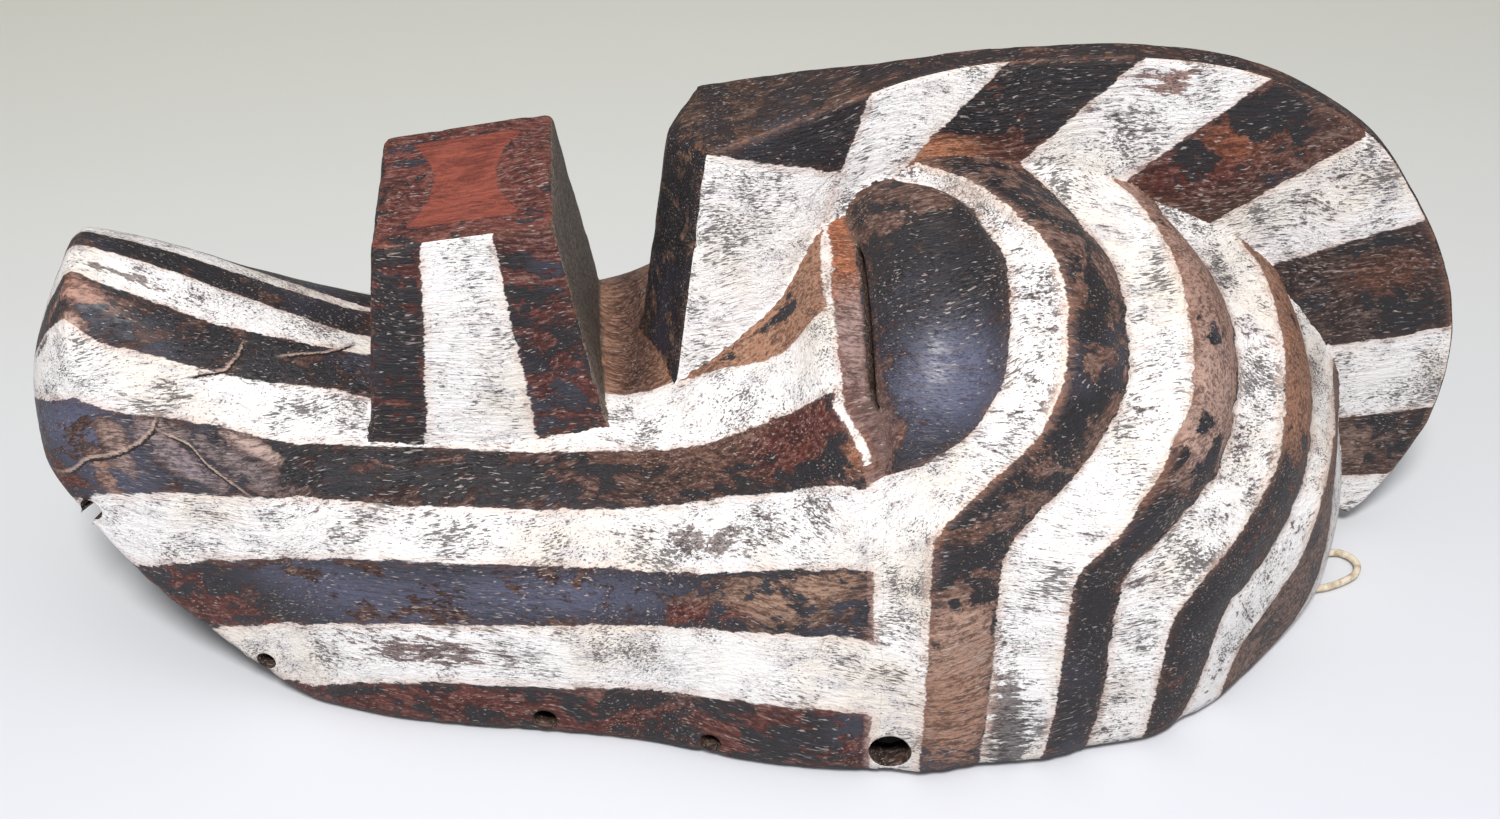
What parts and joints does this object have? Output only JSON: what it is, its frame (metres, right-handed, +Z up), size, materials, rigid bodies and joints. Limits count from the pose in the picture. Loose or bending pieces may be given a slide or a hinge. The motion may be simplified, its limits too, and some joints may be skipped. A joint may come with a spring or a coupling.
{
  "type": "carved kifwebe mask",
  "caption": "Hollow carved wooden face mask with a block mouth, a nose that runs on into a tall crest, swollen eyes, stepped ridges in painted stripes and a loop of hanging string.",
  "frame": {"origin": "on the table plane under the middle of the mask's own bounding box, string left out", "axes": "+X from the chin to the crown along the mask, +Z up out of the face as the mask lies on its rim, +Y away from the camera's side"},
  "size_m": [0.489, 0.2312, 0.205],
  "materials": {
    "painted_wood": "worn kaolin white and brown-black pigment on carved soft wood",
    "string": "twisted cream cotton"
  },
  "bodies": {
    "root": {"mask": "painted_wood", "hanging_string": "string", "string_knot_1": "string", "string_knot_2": "string"}
  },
  "joints": []
}
